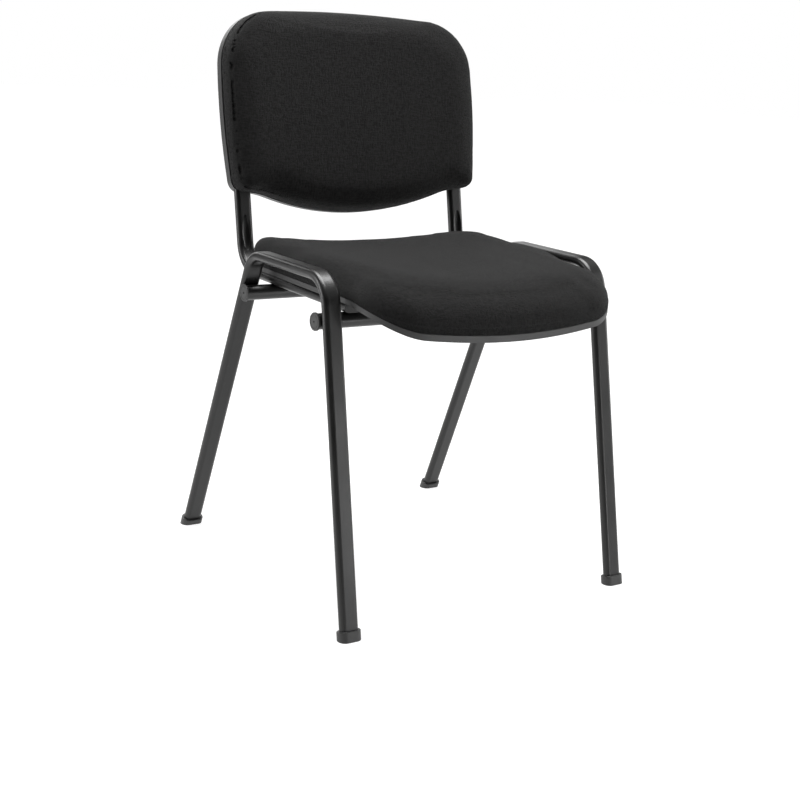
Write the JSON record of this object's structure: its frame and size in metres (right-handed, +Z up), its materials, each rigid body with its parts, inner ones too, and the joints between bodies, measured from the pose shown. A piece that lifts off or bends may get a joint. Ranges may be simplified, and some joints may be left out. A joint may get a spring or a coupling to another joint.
{
  "type": "stacking chair",
  "caption": "Armless stacking chair: black flat-oval tube side frames, cross tubes, padded fabric seat and low curved padded back on bent uprights.",
  "frame": {"origin": "on the floor, at the centre of the four feet", "axes": "+Z up, the sitter faces -Y, +X is the right-hand side seen from the front camera looking along +Y; the chair is symmetric across the X = 0 plane"},
  "size_m": [0.5066, 0.5231, 0.8182],
  "materials": {
    "frame_steel": "satin black powder coat",
    "end_plastic": "matt moulded",
    "shell_plastic": "fine grain",
    "plywood": "raw",
    "foam": "open cell",
    "upholstery": "fine crepe weave",
    "screw_steel": "black zinc",
    "zinc_steel": "bright zinc",
    "clip_plastic": "natural nylon"
  },
  "bodies": {
    "root": {"left_side_frame": "frame_steel", "right_side_frame": "frame_steel", "left_back_upright": "frame_steel", "right_back_upright": "frame_steel", "front_cross_tube": "frame_steel", "rear_cross_tube": "frame_steel", "left_upright_plug": "end_plastic", "right_upright_plug": "end_plastic", "left_front_tube_plug": "end_plastic", "right_front_tube_plug": "end_plastic", "left_rear_tube_plug": "end_plastic", "right_rear_tube_plug": "end_plastic", "left_front_foot_cap": "end_plastic", "right_front_foot_cap": "end_plastic", "left_rear_foot_cap": "end_plastic", "right_rear_foot_cap": "end_plastic", "seat_shell": "shell_plastic", "back_shell": "shell_plastic", "seat_board": "plywood", "back_board": "plywood", "seat_foam": "foam", "back_foam": "foam", "seat_cover": "upholstery", "back_cover": "upholstery", "seat_screws": "screw_steel", "back_screws": "screw_steel", "seat_shell_screws": "screw_steel", "seat_tee_nuts": "zinc_steel", "back_tee_nuts": "zinc_steel", "back_shell_clips": "clip_plastic"}
  },
  "joints": []
}
